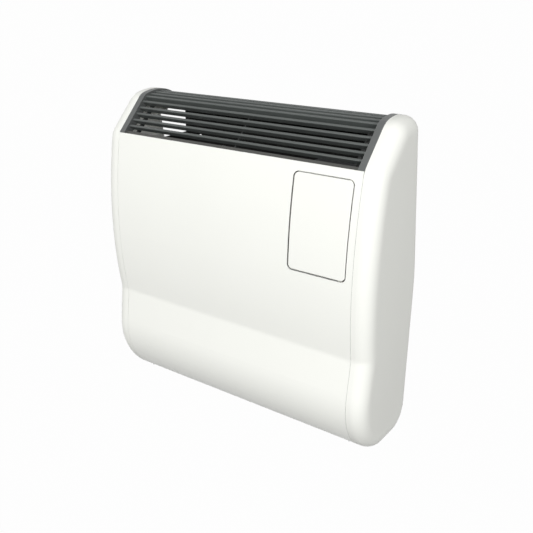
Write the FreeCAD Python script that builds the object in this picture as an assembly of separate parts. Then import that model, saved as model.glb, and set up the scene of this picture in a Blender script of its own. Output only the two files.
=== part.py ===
import FreeCAD, Part
import math
import os

# Wall-hung room-sealed gas convector heater with a fan.
# Millimetres. X runs along the wall to the right, -Y faces the room, Y = 0 is the wall, Z is up.
# The origin is the centre of the four wall-fixing holes.

V = FreeCAD.Vector
ALONG_X = V(1, 0, 0)
ALONG_Y = V(0, 1, 0)
ALONG_Z = V(0, 0, 1)

# Casing
case_width = 530.0
case_depth = 202.0
wall_gap = 1.0
skin = 1.2
seam_gap = 0.4
bolt_fit = 0.2
run_fit = 0.05

# Front profile, from the edge under the grille to the lip under the belly
nose_z = 232.0
bulge_z = 31.0
upper_radius = 943.0
middle_radius = 776.0
waist_radius = 28.0
belly_z = -188.0
belly_radius = 140.0
belly_lean = 8.0
lip_lean = -62.0
top_flange_drop = 8.0
top_flange_depth = 16.0

# Moulded ends
end_depth = 35.0
end_edge_radius = 27.0
end_wall = 3.0
end_under_lean = 64.6
end_under_radius = 60.0
end_nose_radius = 45.0
end_shoulder_radius = 45.0
end_rear_top_radius = 28.0
end_rear_lean = 8.6
end_rear_bend_z = 8.0
end_rear_bend_radius = 400.0
end_rear_foot_radius = 56.0
end_foot_drop = 10.0
end_vent_width = 20.0
end_vent_depth = 52.0
end_vent_bottom_z = 60.0
end_vent_top_drop = 48.0
tongue_width = 3.5
tongue_thickness = 2.5
tongue_top_drop = 20.0
boss_radius = 6.0
boss_inset = 60.0
boss_front_inset = 72.0
boss_heights_rear = (170.0, -190.0)
boss_heights_front = (20.0, -150.0)
screw_radius = 1.9
screw_bite = 12.0
screw_head_radius = 4.5
screw_head = 2.6

# Outlet grille
slope_angle = 45.0
slope_blend_radius = 25.0
crest_radius = 132.5
crest_rear_radius = 85.0
crest_back_share = 0.588
crest_rise_share = 0.6745
grille_wall_gap = 15.7
cheek_width = 12.0
cheek_height = 18.0
slat_pitch = 14.5
slat_first = 21.0
slat_last_gap = 12.0
slat_thickness = 4.8
slat_tail = 2.4
slat_depth = 13.0
slat_recess = 3.5
slat_nose_radius = 1.6
lower_rail_width = 8.0
rear_rail_width = 9.0
rib_thickness = 3.0
rib_height = 8.0
rib_bite = 2.5
rib_inset = 27.0

# Chassis
sheet = 1.5
chassis_inset = 15.0
lip_rise = 11.61
chassis_top_z = 262.0
side_top_z = 206.0
top_shelf_depth = 24.0
bottom_shelf_share = 0.307
fold_width = 10.0
fold_top_z = 30.0
fold_bottom_z = -200.0
fix_edge_inset = 40.0
fix_spacing_z = 400.0
fix_hole_radius = 4.0
guard_overlap = 8.0
guard_slot_width = 6.0
guard_slot_margin = 14.0
guard_slot_pitch = 16.0
guard_side_margin = 25.0

# Control door
door_width = 109.7
door_height = 166.3
door_gap = 2.0
door_seam_inset = 69.5
door_top_drop = 16.85
door_corner_radius = 8.0
door_wall = 2.5
door_rim_depth = 8.0
door_rim = 2.2
door_edge_radius = 1.6
door_flange_depth = 6.0
hinge_edge_inset = 5.5
hinge_depth = 3.5
hinge_pin_radius = 1.5
hinge_boss_radius = 3.2
hinge_boss_length = 12.0
hinge_bracket_width = 16.0
hinge_bracket_depth = 7.0
hinge_bracket_height = 5.0
hinge_bracket_clear = 0.4
hinge_pin_seat = 3.0
catch_height = 24.0
catch_reach = 9.0
catch_depth = 15.0
catch_gap = 0.3
strike_thickness = 1.5
strike_width = 6.0

# Controls
fascia_setback = 52.0
fascia_thickness = 2.5
fascia_margin = 4.0
control_box_depth = 68.0
control_box_wall = 2.0
knob_stand_off = 0.5
temperature_knob_radius = 20.0
temperature_knob_rise = 38.0
mode_knob_radius = 15.0
mode_knob_drop = 16.0
knob_skirt = 5.0
knob_grip = 9.0
knob_grip_width = 9.0
knob_grip_round = 1.5
spindle_radius = 3.0
spindle_length = 12.0
switch_radius = 11.0
switch_length = 14.5
button_radius = 6.0
button_proud = 4.0
button_collar = 1.5
button_stem = 9.0
button_travel = 2.5
small_control_drop = 62.0
small_control_spread = 24.0
lens_radius = 3.5
board_setback = 38.0
board_thickness = 1.6
transformer_width = 44.0
transformer_height = 38.0
transformer_drop = 43.0
relay_width = 20.0
relay_height = 28.0
relay_shift = 22.0
relay_rise = 14.0
relay_share = 0.7
capacitor_radius = 8.0
capacitor_shift = 18.0
capacitor_rise = 16.0
capacitor_share = 0.9

# Heat exchanger, two finned castings bolted at a middle plane
exchanger_left_gap = 110.0
exchanger_right_gap = 150.0
exchanger_bottom = -70.0
exchanger_top = 175.0
exchanger_plane_y = -80.0
pan_depth = 24.0
pan_wall = 4.0
flange_width = 12.0
flange_thickness = 6.0
gasket = 1.5
fin_height = 20.0
fin_thickness = 3.0
fin_count = 13
fin_end_gap = 8.0
port_boss_length = 16.0
burner_z = -35.0
burner_radius = 14.0
burner_port_wall = 10.0
burner_end_gap = 12.0
burner_tube = 1.2
burner_flange = 4.0
burner_slot_count = 16
burner_slot_width = 2.0
outlet_z = 140.0
outlet_radius = 18.0
outlet_port_wall = 8.0
post_width = 10.0
exchanger_bolt_radius = 3.0
exchanger_bolt_head = 4.0
exchanger_bolt_head_radius = 5.1
pad_width = 46.0
pad_height = 60.0
pad_depth = 8.0
sight_radius = 8.0
sight_thickness = 3.0
sight_drop = 16.0
electrode_radius = 3.5
electrode_collar = 5.6
ignition_bend = 0.3
flame_bend = 0.0
electrode_wire = 1.0
electrode_proud = 16.0
electrode_spread = 11.0
electrode_rise = 16.5
limit_radius = 8.0
limit_height = 8.0

# Air and flue sockets through the wall plate
socket_radius = 20.0
socket_wall = 2.0
socket_length = 32.0
socket_flange = 56.0
socket_flange_thickness = 2.0
socket_gasket = 2.0

# Combustion blower
volute_radius = 42.0
volute_width = 34.0
volute_wall = 2.5
volute_throat = 32.0
blower_radius = 33.0
blower_eye = 19.0
blower_width = 20.0
blower_blades = 12
blower_blade = 1.5
blower_hub = 8.0
blower_blade_lean = 30.0
blower_shaft_inside = 26.6
blower_motor_bore = 30.4
blower_motor_radius = 27.0
blower_motor_length = 38.0
shaft_radius = 4.0

# Burner air box and gas train
air_box_width = 38.0
air_box_height = 70.0
air_box_front = 32.0
air_box_wall = 1.5
venturi_length = 20.0
venturi_mouth = 9.0
injector_radius = 5.0
injector_length = 12.0
gas_side_gap = 60.0
gas_y = -80.0
valve_width = 76.0
valve_deep = 56.0
valve_tall = 56.0
valve_corner_radius = 5.6
valve_rise = 170.0
solenoid_radius = 13.0
solenoid_length = 26.0
solenoid_spread = 19.0
pipe_radius = 5.0
pipe_bore = 4.0
pipe_bend = 24.0
union_radius = 8.3
union_length = 16.0
union_hex = 12.0
union_hex_length = 9.0
union_drop = 6.0
union_clear = 18.0

# Convection fan, a cross-flow rotor in a scroll
fan_y = -100.0
fan_rise = 100.0
fan_radius = 32.0
fan_left_gap = 98.0
fan_right_gap = 143.0
fan_disc = 2.0
fan_blades = 22
fan_blade = 1.2
fan_blade_depth = 11.0
fan_blade_radius = 13.0
fan_shaft_inside = 18.4
fan_motor_bore = 23.0
fan_side_hole = 6.0
scroll_gap = 7.0
scroll_side_gap = 4.5
scroll_side_front = 46.0
scroll_side_bottom = 48.0
scroll_height = 96.0
scroll_guide_start = 180.0
scroll_guide_stop = 280.0
scroll_tongue_lean = 25.0
scroll_tongue_span = 40.0
fan_motor_radius = 26.0
fan_motor_length = 46.0
bush_radius = 9.0
bush_length = 12.0

# Wiring inlet and room sensor
gland_side_gap = 25.0
gland_y = -30.0
gland_radius = 9.0
gland_bore = 4.0
gland_nut = 9.0
gland_thread = 6.5
terminal_width = 60.0
terminal_deep = 20.0
terminal_tall = 22.0
terminal_rise = 60.0
terminal_side_gap = 100.0
sensor_y = -132.0
sensor_rise = 68.0
sensor_block = 12.0
sensor_bulb = 3.0
sensor_bulb_length = 30.0

# Values that follow from the sizes above
half_width = case_width / 2
chassis_half = half_width - chassis_inset
bulge_y = -case_depth
bulge_height = nose_z - bulge_z
nose_lean = math.degrees(math.asin(bulge_height / upper_radius))
nose_y = bulge_y + upper_radius * (1 - math.cos(math.radians(nose_lean)))
upper_centre = V(0, bulge_y + upper_radius, bulge_z)
middle_centre = V(0, bulge_y + middle_radius, bulge_z)
belly_centre = V(0, bulge_y + belly_radius, belly_z)
crest_back = -nose_y * crest_back_share
crest_rise = crest_back * crest_rise_share
crest_y = nose_y + crest_back
crest_z = nose_z + crest_rise
crest_centre = V(0, crest_y, crest_z - crest_radius)
crest_rear_centre = V(0, crest_y, crest_z - crest_rear_radius)
nose = V(0, nose_y, nose_z)
end_bottom_z = belly_z - belly_radius * math.sin(math.radians(end_under_lean))
chassis_bottom_z = belly_z + belly_radius * math.sin(math.radians(lip_lean)) + lip_rise
bottom_shelf_depth = case_depth * bottom_shelf_share
guard_z = chassis_bottom_z - sheet
fix_spacing_x = 2 * (chassis_half - fix_edge_inset)
exchanger_left = exchanger_left_gap - chassis_half
exchanger_right = chassis_half - exchanger_right_gap
gas_x = chassis_half - gas_side_gap
valve_top_z = chassis_bottom_z + valve_rise
union_end_z = chassis_bottom_z - union_drop
fan_z = chassis_bottom_z + fan_rise
fan_left = fan_left_gap - chassis_half
fan_right = chassis_half - fan_right_gap
scroll_top_z = fan_z + scroll_height
gland_x = chassis_half - gland_side_gap
terminal_z = chassis_bottom_z + terminal_rise
terminal_x = chassis_half - terminal_side_gap
sensor_z = chassis_bottom_z + sensor_rise
door_z = nose_z - door_top_drop - door_height / 2
door_x = half_width - door_seam_inset
door_right = door_x + door_width / 2
door_left = door_x - door_width / 2
door_top = door_z + door_height / 2
door_bottom = door_z - door_height / 2
hinge_x = door_right - hinge_edge_inset
fascia_y = bulge_y + fascia_setback
fascia_back = fascia_y + fascia_thickness
socket_back_y = -socket_length - socket_flange_thickness - socket_gasket
burner_flange_x = exchanger_right + port_boss_length
air_box_left = burner_flange_x + burner_flange
air_box_right = air_box_left + air_box_width
air_box_x = (air_box_left + air_box_right) / 2
volute_right = exchanger_left - port_boss_length
volute_left = volute_right - volute_width
volute_x = (volute_left + volute_right) / 2
flue_z = outlet_z - volute_radius + volute_throat / 2
valve_bottom_z = valve_top_z - valve_tall


# Plain solids and outlines
def block(x0, x1, y0, y1, z0, z1):
    return Part.makeBox(x1 - x0, y1 - y0, z1 - z0, V(x0, y0, z0))


def rod(radius, start, way, length):
    return Part.makeCylinder(radius, length, start, way)


def tube(radius, bore, start, way, length):
    return rod(radius, start, way, length).cut(rod(bore, start, way, length))


def line(a, b):
    return Part.LineSegment(a, b).toShape()


def on_circle(centre, radius, lean):
    """Point of a circle whose normal leans up by so many degrees from straight ahead."""
    angle = math.radians(lean)
    return V(0, centre.y - radius * math.cos(angle), centre.z + radius * math.sin(angle))


def lean_of(point, centre):
    return math.degrees(math.atan2(point.z - centre.z, centre.y - point.y))


def arc(centre, radius, start, stop):
    middle = on_circle(centre, radius, (start + stop) / 2)
    return Part.Arc(on_circle(centre, radius, start), middle, on_circle(centre, radius, stop)).toShape()


def prism(edges, x0, x1):
    wire = Part.Wire(Part.__sortEdges__(edges))
    face = Part.Face(wire)
    face.translate(V(x0, 0, 0))
    return face.extrude(V(x1 - x0, 0, 0))


def polygon(points, x0, x1):
    return prism([line(a, b) for a, b in zip(points, points[1:] + points[:1])], x0, x1)


def sector(centre, outer, inner, start, stop, x0, x1):
    """Curved strip between two circles about one centre."""
    edges = [arc(centre, outer, start, stop), arc(centre, inner, start, stop)]
    for lean in (start, stop):
        edges.append(line(on_circle(centre, outer, lean), on_circle(centre, inner, lean)))
    return prism(edges, x0, x1)


def line_on_circle(start, way, centre, radius, side):
    """Where a line from start along a unit vector crosses a circle, first (-1) or last (+1)."""
    gap = start - centre
    along = gap.dot(way)
    root = math.sqrt(along * along - gap.dot(gap) + radius * radius)
    return start + way * (side * root - along)


def rounded_plate(x, z, width, height, radius, y0, y1):
    """Upright plate with rounded corners, seen from the front."""
    plate = block(x - width / 2, x + width / 2, y0, y1, z - height / 2, z + height / 2)
    corners = [e for e in plate.Edges if abs(e.Vertexes[0].Y - e.Vertexes[1].Y) > abs(y1 - y0) / 2]
    return plate.makeFillet(radius, corners)


def joined(first, *others):
    return first.multiFuse(list(others)).removeSplitter()


def mirrored(shape):
    return shape.mirror(V(0, 0, 0), ALONG_X)


# Front profile
def waist():
    """Centre of the hollow at the waist and the lean of the upper skin where it starts."""
    lean = math.radians(belly_lean)
    normal = V(0, -math.cos(lean), math.sin(lean))
    touch = on_circle(belly_centre, belly_radius, belly_lean)
    reach = middle_radius + waist_radius
    start = belly_lean - math.degrees(math.acos((waist_radius - (middle_centre - touch).dot(normal)) / reach))
    return on_circle(middle_centre, reach, start), start


def front_edges(inset, first_lean, last_lean):
    """Front skin from the nose down to the lip, moved inwards by inset."""
    hollow, waist_lean = waist()
    runs = (
        (upper_centre, upper_radius, first_lean, 0),
        (middle_centre, middle_radius, 0, waist_lean),
        (hollow, -waist_radius, waist_lean, belly_lean),
        (belly_centre, belly_radius, belly_lean, last_lean),
    )
    edges = []
    for centre, radius, start, stop in runs:
        begin = on_circle(centre, radius - inset, start)
        if radius == belly_radius:
            edges.append(line(edges[-1].lastVertex().Point, begin))
        edges.append(arc(centre, radius - inset, start, stop))
    return edges


def ends_of(edges):
    return edges[0].firstVertex().Point, edges[-1].lastVertex().Point


def front_band(near, far, x0, x1, first_lean=nose_lean, last_lean=lip_lean):
    """Layer of the front between two depths behind its face."""
    outer = front_edges(near, first_lean, last_lean)
    inner = front_edges(far, first_lean, last_lean)
    caps = [line(a, b) for a, b in zip(ends_of(outer), ends_of(inner))]
    return prism(outer + inner + caps, x0, x1)


def behind_front(inset, x0, x1):
    """Everything between the front, moved inwards, and the wall."""
    edges = front_edges(inset, nose_lean, lip_lean)
    top, bottom = ends_of(edges)
    corners = [bottom, V(0, 0, bottom.z), V(0, 0, chassis_top_z + crest_radius), top]
    corners.insert(3, V(0, top.y, chassis_top_z + crest_radius))
    return prism(edges + [line(a, b) for a, b in zip(corners, corners[1:])], x0, x1)


def front_y(z):
    """Front face of the upper skin at a height."""
    above = z >= bulge_z
    radius = upper_radius if above else middle_radius
    return bulge_y + radius - math.sqrt(radius ** 2 - (z - bulge_z) ** 2)


# Grille profile
def slope_way():
    angle = math.radians(slope_angle)
    return V(0, math.cos(angle), math.sin(angle))


def slope_normal():
    way = slope_way()
    return V(0, -way.z, way.y)


def grille_runs():
    """Length of the straight slope, centre of the shoulder, and the leans where the crest starts and ends."""
    reach = crest_radius - slope_blend_radius
    start = nose - slope_normal() * slope_blend_radius
    shoulder = line_on_circle(start, slope_way(), crest_centre, reach, 1)
    crest_start = lean_of(shoulder, crest_centre)
    crest_stop = 180 - math.degrees(math.acos((-grille_wall_gap - crest_y) / crest_rear_radius))
    return (shoulder - start).Length, shoulder, crest_start, crest_stop


def grille_arcs():
    """Centre, radius and first and last lean of the shoulder and of the two halves of the crest."""
    slope, shoulder, crest_start, crest_stop = grille_runs()
    return (
        (shoulder, slope_blend_radius, slope_angle, crest_start),
        (crest_centre, crest_radius, crest_start, 90),
        (crest_rear_centre, crest_rear_radius, 90, crest_stop),
    )


def grille_length():
    bends = sum(radius * math.radians(stop - start) for centre, radius, start, stop in grille_arcs())
    return grille_runs()[0] + bends


def grille_place(along):
    """Point of the grille's outer face and its normal, so far along from the nose."""
    left = along - grille_runs()[0]
    if left <= 0:
        return nose + slope_way() * along, slope_normal()
    for centre, radius, start, stop in grille_arcs():
        lean = start + math.degrees(left / radius)
        if lean <= stop:
            break
        left -= radius * math.radians(stop - start)
    lean = min(lean, stop)
    return on_circle(centre, radius, lean), on_circle(V(), 1, lean)


def grille_edges(inset):
    start = nose - slope_normal() * inset
    edges = [line(start, start + slope_way() * grille_runs()[0])]
    for centre, radius, first, last in grille_arcs():
        edges.append(arc(centre, radius - inset, first, last))
    return edges


def grille_band(near, far, x0, x1):
    outer = grille_edges(near)
    inner = grille_edges(far)
    caps = [line(a, b) for a, b in zip(ends_of(outer), ends_of(inner))]
    return prism(outer + inner + caps, x0, x1)


# Casing pieces
def door_hole(extra, y0, y1):
    return rounded_plate(door_x, door_z, door_width + 2 * extra, door_height + 2 * extra,
                         door_corner_radius + extra, y0, y1)


def front_panel():
    edge = half_width - seam_gap
    panel = front_band(0, skin, -edge, edge)
    flange_z = nose_z - top_flange_drop
    flange = block(-chassis_half, chassis_half, nose_y - top_flange_depth, nose_y + top_flange_depth,
                   flange_z - skin, flange_z)
    flange = flange.common(behind_front(skin / 2, -half_width, half_width))
    lip_turn = math.degrees(skin / belly_radius)
    lip_depth = belly_radius - (belly_z - guard_z) / math.sin(math.radians(-lip_lean - lip_turn))
    lip = sector(belly_centre, belly_radius, belly_radius - lip_depth, lip_lean + lip_turn, lip_lean,
                 -chassis_half, chassis_half)
    panel = joined(panel, flange, lip).cut(door_hole(door_gap, bulge_y - end_depth, fascia_y))
    return joined(panel, door_flange())


def door_flange():
    """Turned-in edge of the door's hole, left out by the hinge, where the door swings behind the sheet."""
    deep = bulge_y - end_depth
    ring = door_hole(door_gap + skin, deep, fascia_y).cut(door_hole(door_gap, deep, fascia_y))
    return front_band(0, door_flange_depth, -half_width, hinge_x - hinge_bracket_width / 2).common(ring)


def end_outline():
    """Closed side outline of a moulded end, with its corners still sharp, and those corners."""
    rear_lean = math.radians(end_rear_lean)
    rear_way = V(0, -math.sin(rear_lean), math.cos(rear_lean))
    bend = V(0, -wall_gap, end_rear_bend_z)
    foot = V(0, -wall_gap, end_bottom_z - end_foot_drop)
    shoulder = line_on_circle(nose, slope_way(), crest_centre, crest_radius, 1)
    crest = V(0, crest_y, crest_z)
    rear_top = bend + rear_way * ((crest_z - bend.z) / rear_way.z)
    front = front_edges(0, nose_lean, -end_under_lean)
    under = ends_of(front)[1]
    edges = front + [line(under, foot), line(foot, bend), line(bend, rear_top)]
    edges.append(line(rear_top, crest))
    edges.append(arc(crest_centre, crest_radius, 90, lean_of(shoulder, crest_centre)))
    edges.append(line(shoulder, nose))
    corners = (
        (nose, end_nose_radius),
        (shoulder, end_shoulder_radius),
        (rear_top, end_rear_top_radius),
        (bend, end_rear_bend_radius),
        (foot, end_rear_foot_radius),
        (under, end_under_radius),
    )
    return edges, corners


def edges_through(shape, point):
    """Edges parallel to X that pass a point of the side view."""
    found = []
    for edge in shape.Edges:
        a, b = (v.Point for v in edge.Vertexes[:2]) if len(edge.Vertexes) == 2 else (V(), V())
        if abs(a.x - b.x) > end_wall and V(0, a.y - point.y, a.z - point.z).Length < run_fit:
            found.append(edge)
    return found


def pebble(face, x0, x1, radius):
    """Side outline drawn out along X, with its far edge rounded over."""
    face.translate(V(x0 - face.BoundBox.XMin, 0, 0))
    body = face.extrude(V(x1 - x0, 0, 0))
    rim = [e for e in body.Edges if e.BoundBox.XMin > x1 - run_fit]
    return body.makeFillet(radius, rim)


def right_end_panel():
    edges, corners = end_outline()
    slab = prism(edges, half_width, half_width + end_depth)
    for point, radius in corners:
        slab = slab.makeFillet(radius, edges_through(slab, point))
    side = [f for f in slab.Faces if f.BoundBox.XMax < half_width + run_fit][0]
    outer = pebble(side.copy(), half_width, half_width + end_depth, end_edge_radius)
    hollow_face = Part.Face(side.OuterWire.makeOffset2D(-end_wall))
    if hollow_face.Area > side.Area:
        hollow_face = Part.Face(side.OuterWire.makeOffset2D(end_wall))
    hollow = pebble(hollow_face, half_width - end_wall, half_width + end_depth - end_wall,
                    end_edge_radius - end_wall)
    shell = outer.cut(hollow)
    tongue_near = skin + run_fit
    tongue_lean = nose_lean - math.degrees(tongue_top_drop / upper_radius)
    tongue = front_band(tongue_near, tongue_near + tongue_thickness, half_width - tongue_width,
                        half_width + end_wall, tongue_lean, lip_lean)
    bosses = []
    pilots = []
    for y, z in boss_places():
        reach = half_width + end_depth - end_wall / 2 - chassis_half
        bosses.append(rod(boss_radius, V(chassis_half, y, z), ALONG_X, reach))
        pilots.append(rod(screw_radius, V(chassis_half, y, z), ALONG_X, screw_bite + end_wall))
    vent = block(half_width - end_wall, half_width + end_vent_width, -end_vent_depth, 0,
                 end_vent_bottom_z, crest_z - end_vent_top_drop)
    return joined(shell, tongue, *bosses).cut(vent).cut(Part.makeCompound(pilots))


def boss_places():
    rear = [(-boss_inset, z) for z in boss_heights_rear]
    front = [(bulge_y + boss_front_inset, z) for z in boss_heights_front]
    return rear + front


def right_cheek():
    cheek = grille_band(0, cheek_height, half_width - cheek_width, half_width)
    return cheek.common(behind_front(skin + run_fit, 0, half_width))


def slat(along):
    """One louvre: a blade square to the grille's face, with a rounded nose."""
    point, normal = grille_place(along)
    way = V(0, normal.z, -normal.y)

    def at(t, depth):
        return point + way * t - normal * depth

    nose_half = slat_thickness / 2
    tail_half = slat_tail / 2
    r = slat_nose_radius
    top = slat_recess
    bottom = slat_recess + slat_depth
    mid = r * (1 - math.sqrt(0.5))
    edges = [line(at(-nose_half + r, top), at(nose_half - r, top))]
    for side in (1, -1):
        start = at(side * (nose_half - r), top)
        stop = at(side * nose_half, top + r)
        edges.append(Part.Arc(start, at(side * (nose_half - mid), top + mid), stop).toShape())
        edges.append(line(stop, at(side * tail_half, bottom)))
    edges.append(line(at(tail_half, bottom), at(-tail_half, bottom)))
    reach = half_width - cheek_width
    return prism(edges, -reach, reach)


def slats():
    room = grille_length() - slat_first - slat_last_gap
    return [slat(slat_first + k * slat_pitch) for k in range(int(room / slat_pitch) + 1)]


def grille_strip(start, stop, depth):
    """Rail across the grille, square to its face, between two places along it."""
    reach = half_width - cheek_width
    first, first_normal = grille_place(start)
    last, last_normal = grille_place(stop)
    corners = [
        first - first_normal * slat_recess,
        last - last_normal * slat_recess,
        last - last_normal * depth,
        first - first_normal * depth,
    ]
    return polygon(corners, -reach, reach)


def lower_rail():
    shelf_z = nose_z - top_flange_drop
    rail = grille_strip(-cheek_height, lower_rail_width, cheek_height)
    rail = rail.common(behind_front(skin + run_fit, -half_width, half_width))
    above = block(-half_width, half_width, bulge_y, 0, shelf_z, nose_z + crest_rise)
    return rail.common(above)


def rear_rail():
    rail = grille_strip(grille_length() - rear_rail_width, grille_length(), cheek_height + rear_rail_width)
    above = block(-half_width, half_width, bulge_y, 0, chassis_top_z, nose_z + crest_rise)
    return rail.common(above)


def ribs():
    top = slat_recess + slat_depth - rib_bite
    places = (-half_width + rib_inset, 0, half_width - rib_inset)
    taken = Part.makeCompound(slats() + [lower_rail(), rear_rail()])
    room = behind_front(skin + run_fit, -half_width, half_width)
    shelf_z = nose_z - top_flange_drop
    room = room.common(block(-half_width, half_width, bulge_y, 0, shelf_z, nose_z + crest_rise))
    made = []
    for x in places:
        rib = grille_band(top, top + rib_height, x - rib_thickness / 2, x + rib_thickness / 2)
        rib = rib.common(room).cut(taken)
        made.append(max(rib.Solids, key=lambda s: s.Volume))
    return Part.makeCompound(made)


# Chassis pieces
def fixing_holes(y0, y1):
    holes = []
    for x in (-fix_spacing_x / 2, fix_spacing_x / 2):
        for z in (-fix_spacing_z / 2, fix_spacing_z / 2):
            holes.append(rod(fix_hole_radius, V(x, y0, z), ALONG_Y, y1 - y0))
    return holes


def back_plate():
    plate = block(-chassis_half, chassis_half, -sheet, 0, chassis_bottom_z, chassis_top_z)
    shelf = block(-chassis_half, chassis_half, -top_shelf_depth, 0, chassis_top_z - sheet, chassis_top_z)
    floor = block(-chassis_half, chassis_half, -bottom_shelf_depth, 0,
                  chassis_bottom_z, chassis_bottom_z + sheet)
    cuts = fixing_holes(-sheet, 0)
    for x, z in ((volute_x, flue_z), (air_box_x, burner_z)):
        cuts.append(rod(socket_radius + socket_wall, V(x, -sheet, z), ALONG_Y, sheet))
    cuts.append(rod(gland_thread, V(gland_x, gland_y, chassis_bottom_z), ALONG_Z, sheet))
    return joined(plate, shelf, floor).cut(Part.makeCompound(cuts))


def chassis_side():
    inner = chassis_half - sheet
    side = block(inner, chassis_half, fascia_y, -sheet, chassis_bottom_z + sheet, side_top_z)
    fold = block(inner - fold_width, chassis_half, fascia_y, fascia_y + sheet, fold_bottom_z, fold_top_z)
    holes = [rod(screw_radius + bolt_fit, V(inner, y, z), ALONG_X, sheet) for y, z in boss_places()]
    return joined(side, fold).cut(Part.makeCompound(holes))


def casing_screws():
    screws = []
    inner = chassis_half - sheet
    for y, z in boss_places():
        head = rod(screw_head_radius, V(inner - screw_head, y, z), ALONG_X, screw_head)
        shank = rod(screw_radius, V(inner - screw_head, y, z), ALONG_X, screw_head + sheet + screw_bite)
        screws.append(joined(head, shank))
    return Part.makeCompound(screws + [mirrored(s) for s in screws])


def inlet_guard():
    front = on_circle(belly_centre, belly_radius, lip_lean).y
    back = -bottom_shelf_depth + guard_overlap
    plate = block(-chassis_half + sheet, chassis_half - sheet, front, back, guard_z, chassis_bottom_z)
    middle = (front - bottom_shelf_depth) / 2
    half = -(front + bottom_shelf_depth) / 2 - guard_slot_margin
    count = int(2 * (chassis_half - guard_side_margin) / guard_slot_pitch)
    cuts = []
    for k in range(count):
        x = (k - (count - 1) / 2) * guard_slot_pitch
        if abs(x - gas_x) > union_clear + guard_slot_width:
            cuts.append(block(x - guard_slot_width / 2, x + guard_slot_width / 2,
                              middle - half, middle + half,
                              guard_z, chassis_bottom_z))
    cuts.append(rod(union_clear, V(gas_x, gas_y, guard_z), ALONG_Z, sheet))
    return plate.cut(Part.makeCompound(cuts))


# Control door
def hinge_ends():
    """The hinge axis passes so far behind the face at the door's top and bottom edges."""
    top = V(hinge_x, front_y(door_top) + hinge_depth, door_top)
    bottom = V(hinge_x, front_y(door_bottom) + hinge_depth, door_bottom)
    return bottom, top


def hinge_way():
    bottom, top = hinge_ends()
    return (top - bottom).normalize()


def door_bosses(radius, over):
    """Rods on the hinge axis at the door's two ends, started so far outside the door."""
    bottom, top = hinge_ends()
    way = hinge_way()
    length = hinge_boss_length + over
    return [rod(radius, bottom - way * over, way, length), rod(radius, top + way * over, way * -1, length)]


def control_door():
    deep = bulge_y - end_depth
    face = front_band(0, door_wall, door_left, door_right).common(door_hole(0, deep, fascia_y))
    frame = door_hole(0, deep, fascia_y).cut(door_hole(-door_rim, deep, fascia_y))
    rim = front_band(0, door_rim_depth, door_left, door_right).common(frame)
    room = front_band(door_wall / 2, door_rim_depth, door_left, door_right).common(door_hole(0, deep, fascia_y))
    bosses = [b.common(room) for b in door_bosses(hinge_boss_radius, 0)]
    door = joined(face, rim, *bosses)
    for bore in door_bosses(hinge_pin_radius + run_fit, door_gap):
        door = door.cut(bore)
    front = [e for e in door.Edges if on_door_front(e)]
    return door.makeFillet(door_edge_radius, front)


def on_door_front(edge):
    """True for the outer edge of the door's face."""
    points = [edge.valueAt(edge.FirstParameter), edge.valueAt(edge.LastParameter)]
    return all(abs(p.y - front_y(p.z)) < run_fit for p in points)


def hinge_brackets():
    made = []
    for z0 in (door_top + door_gap + hinge_bracket_clear,
               door_bottom - door_gap - hinge_bracket_clear - hinge_bracket_height):
        zone = block(hinge_x - hinge_bracket_width / 2, hinge_x + hinge_bracket_width / 2,
                     bulge_y - end_depth, fascia_y, z0, z0 + hinge_bracket_height)
        layer = front_band(skin, skin + hinge_bracket_depth, door_left, half_width)
        made.append(layer.common(zone).cut(hinge_pins()))
    return Part.makeCompound(made)


def hinge_pins():
    bottom, top = hinge_ends()
    way = hinge_way()
    over = door_gap + hinge_bracket_clear + hinge_pin_seat
    bite = hinge_boss_length - door_gap
    return Part.makeCompound([
        rod(hinge_pin_radius, bottom - way * over, way, over + bite),
        rod(hinge_pin_radius, top - way * bite, way, over + bite),
    ])


def door_catch():
    hole_left = door_left - door_gap
    zone = block(hole_left - catch_reach, door_left + catch_reach, bulge_y - end_depth, fascia_y,
                 door_z - catch_height / 2, door_z + catch_height / 2)
    foot = front_band(skin, catch_depth, hole_left - catch_reach, hole_left - skin).common(zone)
    arm = front_band(door_rim_depth + catch_gap, catch_depth, hole_left - catch_reach,
                     door_left + catch_reach).common(zone)
    return joined(foot, arm)


def door_strike():
    left = door_left + door_rim
    layer = front_band(door_rim_depth - strike_thickness, door_rim_depth, left, left + strike_width)
    return layer.common(block(left, left + strike_width, bulge_y - end_depth, fascia_y,
                              door_z - catch_height / 2, door_z + catch_height / 2))


# Controls behind the door
def fascia_zone():
    left = door_left - door_gap - fascia_margin
    right = chassis_half - sheet
    bottom = door_bottom - door_gap - fascia_margin
    top = door_top + door_gap + fascia_margin
    return left, right, bottom, top


def temperature_place():
    return V(door_x, fascia_y, door_z + temperature_knob_rise)


def mode_place():
    return V(door_x, fascia_y, door_z - mode_knob_drop)


def button_place():
    return V(door_x - small_control_spread, fascia_y, door_z - small_control_drop)


def lens_place():
    return V(door_x + small_control_spread, fascia_y, door_z - small_control_drop)


def control_fascia():
    left, right, bottom, top = fascia_zone()
    plate = block(left, right, fascia_y, fascia_back, bottom, top)
    cuts = []
    for place in (temperature_place(), mode_place()):
        cuts.append(rod(spindle_radius + bolt_fit, place, ALONG_Y, fascia_thickness))
    cuts.append(rod(button_radius + run_fit, button_place(), ALONG_Y, fascia_thickness))
    cuts.append(rod(lens_radius, lens_place(), ALONG_Y, fascia_thickness))
    return plate.cut(Part.makeCompound(cuts))


def control_box():
    left, right, bottom, top = fascia_zone()
    w = control_box_wall
    box = block(left + w, right, fascia_back, fascia_back + control_box_depth, bottom + w, top - w)
    room = block(left + 2 * w, right - w, fascia_back, fascia_back + control_box_depth - w,
                 bottom + 2 * w, top - 2 * w)
    return box.cut(room)


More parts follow.
